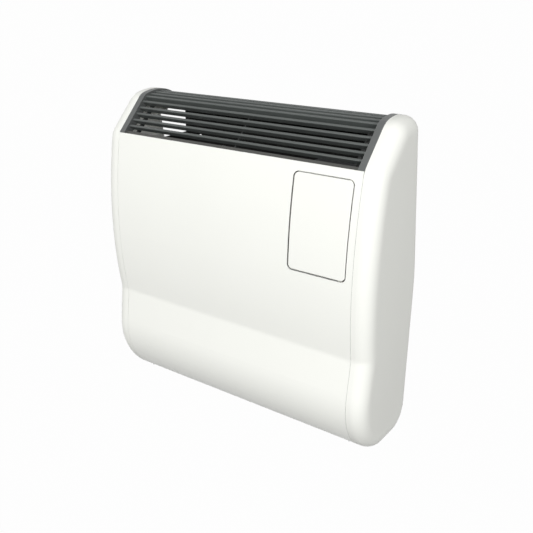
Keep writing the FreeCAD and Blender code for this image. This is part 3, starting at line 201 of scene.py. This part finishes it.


# Painted shade: each face turned into the casing gets the near black.
for node, inward in (
    ("back_plate", (0, -1, 0)),
    ("chassis_left_side", (1, 0, 0)),
    ("chassis_right_side", (-1, 0, 0)),
):
    second_coat(inside_painted_shade, node, lambda spot, normal, way=Vector(inward): normal.dot(way) > faces_that_way)

# Air and flue sockets with their gaskets
# Short steel tubes through the back plate that the two wall pipes push into, each with a square flange.
# A square rubber pad seals each flange to the blower or the air box.
dress(galvanised, "flue_socket", "air_socket")
rubber = surfaced(
    "seal_rubber", dark=(0.018, 0.018, 0.019), light=(0.035, 0.034, 0.033),
    grain=1400, patch=18, rough=(0.65, 0.85), height=0.00008, shader={"Specular IOR Level": 0.3},
)
dress(rubber, "socket_gaskets")

# Heat exchanger
# Two finned iron castings, sand cast and painted matt black, bolted round a flange
# on a pressed ceramic-fibre gasket and held off the back plate by steel posts.
iron = surfaced(
    "cast_iron_black", dark=(0.020, 0.019, 0.018), light=(0.055, 0.048, 0.042),
    worn=(0.16, 0.12, 0.095), edge=0.0016,
    grain=420, patch=14, rough=(0.62, 0.88), height=0.0005, shader={"Metallic": 0.25},
)
dress(iron, "exchanger_rear_casting", "exchanger_front_casting")

fibre = surfaced(
    "seal_fibre", dark=(0.70, 0.67, 0.60), light=(0.86, 0.84, 0.79), tone="Grain",
    grain=1800, patch=30, height=0.0004, shader={"Roughness": 0.95},
)
dress(fibre, "exchanger_gasket")

plated = surfaced(
    "zinc_screw", dark=(0.60, 0.60, 0.58), light=(0.70, 0.67, 0.56),
    worn=(0.82, 0.82, 0.81), edge=0.0006,
    grain=1600, patch=40, rough=(0.24, 0.42), height=0.00004, shader={"Metallic": 1.0},
)
dress(plated, "exchanger_bolts")
dress(galvanised, "exchanger_posts")

# Limit thermostat
# Round phenolic body with two contact tabs, seated on top of the exchanger.
# The same black moulding, with its fine matt grain, serves other pieces below.
phenolic = surfaced(
    "black_plastic", dark=(0.020, 0.020, 0.022), light=(0.036, 0.036, 0.038),
    worn=(0.085, 0.085, 0.088), edge=0.0008,
    grain=1500, patch=25, rough=(0.42, 0.62), height=0.00012, shader={"Specular IOR Level": 0.4},
)
dress(phenolic, "limit_thermostat")

# Burner, air box and electrodes
# Slotted stainless tube across the exchanger, fed by a cast venturi in a steel air box with a brass injector.
# Two glazed ceramic electrodes go through the front casting to it, and a glass disc is let in below them.
stainless = surfaced(
    "burner_steel", dark=(0.46, 0.40, 0.33), light=(0.52, 0.53, 0.56),
    worn=(0.70, 0.69, 0.66), edge=0.0006,
    grain=900, patch=22, rough=(0.25, 0.45), height=0.00004, shader={"Metallic": 1.0},
)
dress(stainless, "burner")

cast_alloy = surfaced(
    "cast_aluminium", dark=(0.48, 0.49, 0.50), light=(0.60, 0.60, 0.60),
    worn=(0.76, 0.76, 0.77), edge=0.0012,
    grain=650, patch=20, rough=(0.40, 0.60), height=0.00025, shader={"Metallic": 0.95},
)
dress(cast_alloy, "burner_venturi")
dress(galvanised, "air_box")

brass = surfaced(
    "brass_fitting", dark=(0.55, 0.38, 0.13), light=(0.70, 0.52, 0.22),
    worn=(0.86, 0.70, 0.36), edge=0.0006,
    grain=1300, patch=35, rough=(0.20, 0.38), height=0.00003, shader={"Metallic": 1.0},
)
dress(brass, "gas_injector")

glazed = surfaced(
    "ceramic_white", dark=(0.78, 0.76, 0.70), light=(0.86, 0.85, 0.81),
    grain=800, patch=30, rough=(0.22, 0.35), height=0.00003,
    shader={"Coat Weight": 0.5, "Coat Roughness": 0.08},
)
dress(glazed, "ignition_electrode", "flame_electrode")

clear = surfaced(
    "sight_glass", dark=(0.86, 0.92, 0.90), light=(0.95, 0.98, 0.97),
    grain=500, patch=60, rough=(0.02, 0.08), shader={"IOR": 1.47, "Transmission Weight": 1.0},
)
dress(clear, "sight_glass")

# Combustion blower
# Die-cast volute with a pressed steel wheel inside, which draws the burnt gas out to the flue.
# A small motor in a black moulded case turns the wheel.
dress(cast_alloy, "blower_housing")
dress(stainless, "blower_impeller")
dress(phenolic, "blower_motor")

# Gas train
# Die-cast control valve with two moulded coils, held by a folded steel bracket.
# A turned brass union and drawn copper pipes carry the gas to it and on to the injector.
copper = surfaced(
    "copper_pipe", dark=(0.62, 0.30, 0.17), light=(0.78, 0.46, 0.31),
    grain=1100, patch=28, rough=(0.22, 0.42), height=0.00003, shader={"Metallic": 1.0},
)
dress(cast_alloy, "gas_valve")
dress(phenolic, "valve_solenoids")
dress(galvanised, "valve_bracket")
dress(copper, "gas_supply_pipe", "gas_burner_pipe")
dress(brass, "gas_inlet_union")

# Convection fan
# Cross-flow rotor of rolled aluminium blades between discs, in a folded sheet scroll.
# A motor drives it at its left and a rubber bush carries it at its right.
rolled = surfaced(
    "rotor_aluminium", dark=(0.62, 0.63, 0.64), light=(0.74, 0.74, 0.74),
    grain=1200, patch=26, rough=(0.28, 0.44), height=0.00004, shader={"Metallic": 1.0},
)
dress(galvanised, "fan_scroll")
dress(rolled, "fan_impeller")
dress(phenolic, "fan_motor")
dress(rubber, "fan_bush")

# Wiring inlet and room sensor
# Moulded gland with a clamping nut through the chassis floor, and a ceramic terminal strip on the back plate.
# The sensor is a steel bulb in a clip on the right chassis side.
dress(phenolic, "cable_gland")
dress(glazed, "terminal_block")
dress(stainless, "room_sensor")

# Control box, board and switches
# Moulded black box that holds a printed board with its components, the reset switch and two rotary switches.
# The board is green under a clear lacquer.
board = surfaced(
    "board_green", dark=(0.012, 0.10, 0.035), light=(0.03, 0.19, 0.07),
    grain=500, patch=120, rough=(0.30, 0.45), shader={"Coat Weight": 0.4, "Coat Roughness": 0.2},
)
# The box's black is painted shade: it keeps the inside seen through the grille dark.
dress(phenolic, "control_box")
dress(board, "control_board")
dress(phenolic, "board_components", "control_switches", "reset_switch")

# Control fascia with its dial numbers
# Grey moulded plate over the mouth of the box.
# The numbers and short lines round the knobs are printed in pale ink that stands a little proud.
fascia_grey = surfaced(
    "control_grey", dark=(0.105, 0.110, 0.115), light=(0.135, 0.140, 0.145),
    grain=1500, patch=20, rough=(0.45, 0.62), height=0.00012,
)
dress(fascia_grey, "control_fascia")

ink = surfaced(
    "pale_ink", dark=(0.66, 0.66, 0.64), light=(0.80, 0.80, 0.78), tone="Grain",
    grain=2500, patch=60, rough=(0.5, 0.7), sheen="Patch",
)
fascia_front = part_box("control_fascia")[0].y
print_height = 0.00012
digit_size = 0.0042
digit_gap = 0.0060
tick_gap = 0.0026
tick_width = 0.0006
tick_length = 0.0018
mark_step = 45


def middle(node):
    """Axis and radius of a knob: the middle of its box seen from the front."""
    low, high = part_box(node)
    return (low.x + high.x) / 2, (low.z + high.z) / 2, (high.x - low.x) / 2


def put_on_fascia(mark, x, z):
    """Sets a printed mark on the front of the fascia, in ink, and joins it to the casing."""
    mark.location = (x, fascia_front - print_height / 2, z)
    mark.data.materials.append(ink)
    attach(mark, "casing")


def printed(name, words, x, z):
    """Words in raised ink, centred on a point."""
    curve = bpy.data.curves.new(name, "FONT")
    curve.body = words
    curve.size = digit_size
    curve.align_x = "CENTER"
    curve.align_y = "CENTER"
    curve.extrude = print_height / 2
    made = bpy.data.objects.new(name, curve)
    bpy.context.scene.collection.objects.link(made)
    made.rotation_euler = (math.pi / 2, 0, 0)
    put_on_fascia(made, x, z)


def bevelled_bar(name, size, bevel, segments, centre=(0, 0, 0)):
    """Straight bar with bevelled edges."""
    shape = bmesh.new()
    bmesh.ops.create_cube(shape, size=1)
    bmesh.ops.scale(shape, vec=size, verts=shape.verts)
    bmesh.ops.translate(shape, vec=centre, verts=shape.verts)
    bmesh.ops.bevel(shape, geom=shape.edges[:], offset=bevel, segments=segments, affect="EDGES")
    mesh = bpy.data.meshes.new(name)
    shape.to_mesh(mesh)
    shape.free()
    made = bpy.data.objects.new(name, mesh)
    bpy.context.scene.collection.objects.link(made)
    return made


def tick(name, x, z, turn):
    """Short printed line that points at the middle of a dial."""
    size = (tick_width, print_height, tick_length)
    made = bevelled_bar(name, size, bevel=print_height / 4, segments=1)
    made.rotation_euler = (0, turn, 0)
    put_on_fascia(made, x, z)


for node, words in (("temperature_knob", "0123456"), ("mode_knob", "0123")):
    x, z, radius = middle(node)
    for step, word in enumerate(words):
        turn = math.radians(mark_step * step)
        out_x = math.sin(turn)
        out_z = math.cos(turn)
        reach = radius + digit_gap
        printed(node + "_mark_" + word, word, x + reach * out_x, z + reach * out_z)
        reach = radius + tick_gap
        tick(node + "_tick_" + word, x + reach * out_x, z + reach * out_z, turn)

# Knobs
# Skirted black mouldings with a grip bar, each on a spindle that plugs into its switch.
# A white line is let into the upper end of each bar.
dress(phenolic, "temperature_knob", "mode_knob")
pointer_white = surfaced(
    "pointer_white", dark=(0.76, 0.76, 0.74), light=(0.86, 0.86, 0.84), tone="Grain",
    grain=2000, patch=50, rough=(0.35, 0.5), sheen="Patch",
)
pointer_width = 0.0014
pointer_depth = 0.0006
pointer_bevel = 0.00015
pointer_length_share = 0.45
pointer_middle_share = 0.60
for node in ("temperature_knob", "mode_knob"):
    x, z, radius = middle(node)
    size = (pointer_width, pointer_depth, radius * pointer_length_share)
    centre = (x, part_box(node)[0].y, z + radius * pointer_middle_share)
    pointer = bevelled_bar(node + "_pointer", size, bevel=pointer_bevel, segments=2, centre=centre)
    pointer.data.materials.append(pointer_white)
    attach(pointer, node)

# Reset button and indicator lens
# Red moulded button that slides in the fascia and springs back, held by a collar behind it.
# The lens is an amber moulded dome pressed into the fascia.
button_red = surfaced(
    "button_red", dark=(0.36, 0.020, 0.016), light=(0.46, 0.032, 0.025),
    grain=1500, patch=40, rough=(0.28, 0.40), shader={"Coat Weight": 0.2, "Coat Roughness": 0.15},
)
dress(button_red, "reset_button")
amber = surfaced(
    "lens_amber", dark=(0.85, 0.32, 0.02), light=(0.95, 0.45, 0.05),
    grain=900, patch=80, rough=(0.10, 0.22), shader={"IOR": 1.49, "Transmission Weight": 0.8},
)
dress(amber, "indicator_lens")

# Inlet guard
# Slotted plate of galvanised steel under the front of the chassis.
# It lets room air in to the fan and keeps fingers out.
dress(galvanised, "inlet_guard")

# Front panel
# One sheet of steel, rolled and pressed to its bow and waist, then stoved in warm white enamel.
# Its cut ends, the edge of the hole round the door and the flange behind the door are painted mid grey as
# painted shade, for the dark seams and door gap.
enamel_light = (0.865, 0.872, 0.828)
enamel_deep = (0.840, 0.846, 0.800)
enamel = surfaced(
    "white_enamel", dark=enamel_deep, light=enamel_light,
    grain=260, patch=5, rough=(0.36, 0.46), sheen="Patch", height=0.00002,
    shader={"Specular IOR Level": 0.3, "Coat Weight": 0.12, "Coat Roughness": 0.12},
)
dress(enamel, "front_panel")

# Mid-grey painted shade that darkens the seams and the gap round the door.
gap_shade = surfaced(
    "gap_painted_shade", dark=(0.32, 0.32, 0.305), light=(0.38, 0.38, 0.365),
    grain=900, patch=15, rough=(0.60, 0.80), height=0.00004, shader={"Specular IOR Level": 0.3},
)
door_low, door_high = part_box("control_door")
panel_low, panel_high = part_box("front_panel")
gap_reach = 0.0025
seam_reach = 0.0005
flange_setback = 0.005
turned_from_room = 0.6


def in_gap_shade(spot, normal):
    """True for the faces painted grey as shade: the panel's cut ends, the edge of the hole round the door,
    and the flange behind the door.
    """
    beside_door = door_low.x - gap_reach < spot.x < door_high.x + gap_reach
    level_with_door = door_low.z - gap_reach < spot.z < door_high.z + gap_reach
    edge_on = abs(normal.y) < turned_from_room
    behind = spot.y > door_low.y + flange_setback
    at_door = beside_door and level_with_door and (edge_on or behind)
    at_end = spot.x < panel_low.x + seam_reach or spot.x > panel_high.x - seam_reach
    return at_door or (at_end and abs(normal.x) > faces_that_way)


second_coat(gap_shade, "front_panel", in_gap_shade)

# End panels and casing screws
# Hollow mouldings in the same warm white as the front, with a finer, drier surface.
# Zinc-plated screws draw them up to the chassis sides from inside.
moulded = surfaced(
    "white_moulding", dark=enamel_deep, light=enamel_light,
    grain=1100, patch=6, rough=(0.42, 0.52), height=0.00003, shader={"Specular IOR Level": 0.15},
)
dress(moulded, "left_end_panel", "right_end_panel")
dress(plated, "casing_screws")

# Outlet grille
# Dark grey glass-filled moulding: two curved cheeks, rails and ribs, and a row of louvres let into them.
# The cheeks are the lightest, with lighter edges, and the ribs behind are painted darkest as painted shade.


def grey_moulding(name, dark, light, worn):
    """Grey of the grille in one of its tones."""
    return surfaced(
        name, dark=dark, light=light, worn=worn, edge=0.0008,
        grain=1300, patch=24, rough=(0.36, 0.52), height=0.00010, shader={"Specular IOR Level": 0.5},
    )


louvre_grey = grey_moulding(
    "louvre_grey", dark=(0.068, 0.076, 0.073), light=(0.083, 0.092, 0.088), worn=(0.090, 0.099, 0.095),
)
cheek_grey = grey_moulding(
    "cheek_grey", dark=(0.085, 0.090, 0.088), light=(0.115, 0.120, 0.118), worn=(0.20, 0.21, 0.205),
)
rail_grey = grey_moulding(
    "rail_grey", dark=(0.046, 0.047, 0.043), light=(0.060, 0.060, 0.055), worn=(0.070, 0.070, 0.066),
)
# The ribs' near black is painted shade, for the shadow behind the louvres.
rib_painted_shade = grey_moulding(
    "rib_painted_shade", dark=(0.016, 0.017, 0.017), light=(0.024, 0.026, 0.025), worn=(0.030, 0.032, 0.031),
)
dress(louvre_grey, "grille_louvres", "grille_rear_rail")
dress(cheek_grey, "grille_left_cheek", "grille_right_cheek")
dress(rail_grey, "grille_lower_rail")
dress(rib_painted_shade, "grille_ribs")

# Control door with its hinge and catch
# White moulding with a rim, turning on two steel pins at its right edge.
# A black moulded catch on the panel holds it at its left.
dress(moulded, "control_door", "door_hinge_brackets")
dress(stainless, "door_hinge_pins")
dress(phenolic, "door_catch")

# Floor
# Plain studio floor well below the heater, which hangs on a wall.
# Seen straight, in a mirror or through glass it is white, and it throws only a little light back.
floor_z = -0.62
floor_half = 60.0
white_share = 0.985
floor_mesh = bpy.data.meshes.new("floor")
floor_mesh.from_pydata(
    [(-floor_half, -floor_half, floor_z), (floor_half, -floor_half, floor_z),
     (floor_half, floor_half, floor_z), (-floor_half, floor_half, floor_z)],
    [], [(0, 1, 2, 3)],
)
floor = bpy.data.objects.new("floor", floor_mesh)
bpy.context.scene.collection.objects.link(floor)
paper = surfaced(
    "pale_floor", dark=(0.10, 0.10, 0.10), light=(0.13, 0.13, 0.13),
    grain=60, patch=1.5, shader={"Roughness": 0.9},
)


def seen_directly(tree):
    """One for rays from the camera, a mirror or glass."""
    path = add(tree, "ShaderNodeLightPath")
    first = add(tree, "ShaderNodeMath", operation="MAXIMUM")
    second = add(tree, "ShaderNodeMath", operation="MAXIMUM")
    tree.links.new(path.outputs["Is Camera Ray"], first.inputs[0])
    tree.links.new(path.outputs["Is Glossy Ray"], first.inputs[1])
    tree.links.new(first.outputs[0], second.inputs[0])
    tree.links.new(path.outputs["Is Transmission Ray"], second.inputs[1])
    return second.outputs[0]


tree = paper.node_tree
glow = add(tree, "ShaderNodeEmission", Strength=1.0)
mix = add(tree, "ShaderNodeMixShader")
tree.links.new(spread(tree, seen_directly(tree), 0, white_share, 0, 1), mix.inputs[0])
tree.links.new(tree.nodes["Principled BSDF"].outputs[0], mix.inputs[1])
tree.links.new(glow.outputs[0], mix.inputs[2])
tree.links.new(mix.outputs[0], tree.nodes["Material Output"].inputs["Surface"])
floor_mesh.materials.append(paper)

# Light
# Even studio light from a white room, brighter in front than behind, with a broad soft lamp
# before the heater and a weaker one at its right.
front_level = 0.54
rear_level = 0.21
world = bpy.data.worlds.new("studio")
bpy.context.scene.world = world
world.use_nodes = True
tree = world.node_tree
room = tree.nodes["Background"]
room.inputs["Color"].default_value = (1, 1, 1, 1)
level = add(tree, "ShaderNodeMapRange")
level.inputs["To Max"].default_value = 1.0
sky = add(tree, "ShaderNodeTexCoord")
sky_parts = add(tree, "ShaderNodeSeparateXYZ")
tree.links.new(sky.outputs["Generated"], sky_parts.inputs["Vector"])
tree.links.new(spread(tree, sky_parts.outputs["Y"], front_level, rear_level, -1, 1), level.inputs["To Min"])
tree.links.new(seen_directly(tree), level.inputs["Value"])
tree.links.new(level.outputs["Result"], room.inputs["Strength"])
lamp_aim = (0.1, -0.1, 0.0)


def lamp(name, place, width, watts):
    """Round soft lamp turned to the heater."""
    light = bpy.data.lights.new(name, "AREA")
    light.shape = "DISK"
    light.size = width
    light.energy = watts
    made = bpy.data.objects.new(name, light)
    bpy.context.scene.collection.objects.link(made)
    made.location = place
    made.rotation_euler = (Vector(lamp_aim) - Vector(place)).to_track_quat("-Z", "Y").to_euler()


lamp("front_lamp", place=(-0.10, -3.90, 1.80), width=2.4, watts=112.0)
lamp("right_lamp", place=(2.3, -1.25, 0.55), width=0.7, watts=27.5)

# Camera
# Stands to the right of the heater and above it, as in the photograph,
# with the lens that the photograph's straight edges give.
camera_place = (0.7229, -1.1165, 0.5034)
camera_tilt = 67.36
camera_turn = 34.4
camera_data = bpy.data.cameras.new("camera")
camera_data.sensor_width = 36.0
camera_data.lens = 46.22
camera = bpy.data.objects.new("camera", camera_data)
bpy.context.scene.collection.objects.link(camera)
camera.location = camera_place
camera.rotation_euler = (math.radians(camera_tilt), 0, math.radians(camera_turn))
bpy.context.scene.camera = camera
bpy.context.scene.view_settings.view_transform = "Standard"

bpy.context.view_layer.update()
